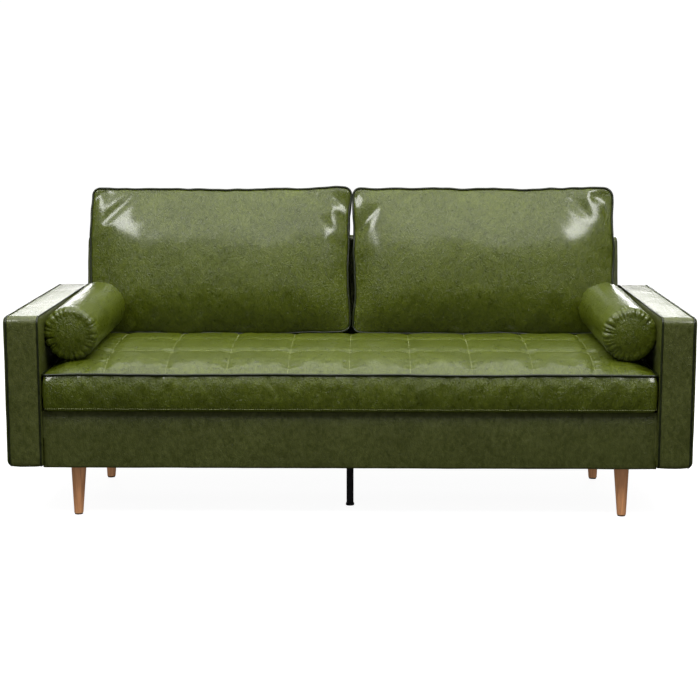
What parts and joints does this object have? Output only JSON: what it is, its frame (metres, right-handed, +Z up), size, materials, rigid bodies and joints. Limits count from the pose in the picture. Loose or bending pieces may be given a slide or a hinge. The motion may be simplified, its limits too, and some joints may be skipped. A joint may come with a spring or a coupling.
{
  "type": "sofa",
  "caption": "Upright-armed sofa on tapered wooden legs, with a tufted bench seat cushion, loose back cushions and round bolsters in piped leather",
  "frame": {"origin": "on the floor, under the centre of the bounding box", "axes": "+X to the right as seen from the front, +Y to the back, +Z up; the front faces -Y"},
  "size_m": [1.85, 0.79, 0.8807],
  "materials": {
    "green_leather": "satin",
    "piping": "satin",
    "leg_wood": "satin",
    "frame_wood": "matte",
    "plywood": "matte",
    "foam": "matte",
    "felt": "matte",
    "webbing": "matte",
    "deck_cloth": "matte",
    "spring_steel": "satin",
    "black_metal": "satin",
    "black_plastic": "matte"
  },
  "bodies": {
    "frame": {"apron_cover": "green_leather", "apron_padding": "felt", "arm_boards_left": "plywood", "arm_boards_right": "plywood", "arm_bottom_rail_left": "frame_wood", "arm_bottom_rail_right": "frame_wood", "arm_cover_left": "green_leather", "arm_cover_right": "green_leather", "arm_front_post_left": "frame_wood", "arm_front_post_right": "frame_wood", "arm_padding_left": "foam", "arm_padding_right": "foam", "arm_piping_left": "piping", "arm_piping_right": "piping", "arm_rear_post_left": "frame_wood", "arm_rear_post_right": "frame_wood", "arm_top_rail_left": "frame_wood", "arm_top_rail_right": "frame_wood", "back_bottom_rail": "frame_wood", "back_cover": "green_leather", "back_padding": "foam", "back_post_centre": "frame_wood", "back_post_left": "frame_wood", "back_post_right": "frame_wood", "back_top_rail": "frame_wood", "back_webbing": "webbing", "centre_rail": "frame_wood", "deck_cover": "deck_cloth", "deck_pad": "felt", "dust_cover": "deck_cloth", "frame_bolts": "spring_steel", "front_rail": "frame_wood", "leg_blocks": "frame_wood", "leg_bolts": "spring_steel", "leg_front_left": "leg_wood", "leg_front_right": "leg_wood", "leg_glides": "black_plastic", "leg_plates": "spring_steel", "leg_rear_left": "leg_wood", "leg_rear_right": "leg_wood", "outside_back_cover": "green_leather", "rear_rail": "frame_wood", "seat_springs": "spring_steel", "side_rail_left": "frame_wood", "side_rail_right": "frame_wood", "spring_clips": "spring_steel", "support_leg": "black_metal"},
    "seat_cushion": {"seat_cushion_cover": "green_leather", "seat_cushion_foam": "foam", "seat_cushion_piping": "piping"},
    "back_cushion_left": {"back_cushion_cover_left": "green_leather", "back_cushion_fill_left": "foam", "back_cushion_piping_left": "piping"},
    "bolster_left": {"bolster_cover_left": "green_leather", "bolster_fill_left": "foam"},
    "back_cushion_right": {"back_cushion_cover_right": "green_leather", "back_cushion_fill_right": "foam", "back_cushion_piping_right": "piping"},
    "bolster_right": {"bolster_cover_right": "green_leather", "bolster_fill_right": "foam"}
  },
  "joints": [
    {"name": "seat_cushion_lift", "type": "slide", "parent": "frame", "child": "seat_cushion", "axis": [0, 0, 1], "range_m": [0, 0.3]},
    {"name": "back_cushion_left_lift", "type": "slide", "parent": "seat_cushion", "child": "back_cushion_left", "axis": [0, 0, 1], "range_m": [0, 0.35]},
    {"name": "bolster_left_lift", "type": "slide", "parent": "seat_cushion", "child": "bolster_left", "axis": [0, 0, 1], "range_m": [0, 0.2]},
    {"name": "back_cushion_right_lift", "type": "slide", "parent": "seat_cushion", "child": "back_cushion_right", "axis": [0, 0, 1], "range_m": [0, 0.35]},
    {"name": "bolster_right_lift", "type": "slide", "parent": "seat_cushion", "child": "bolster_right", "axis": [0, 0, 1], "range_m": [0, 0.2]}
  ]
}
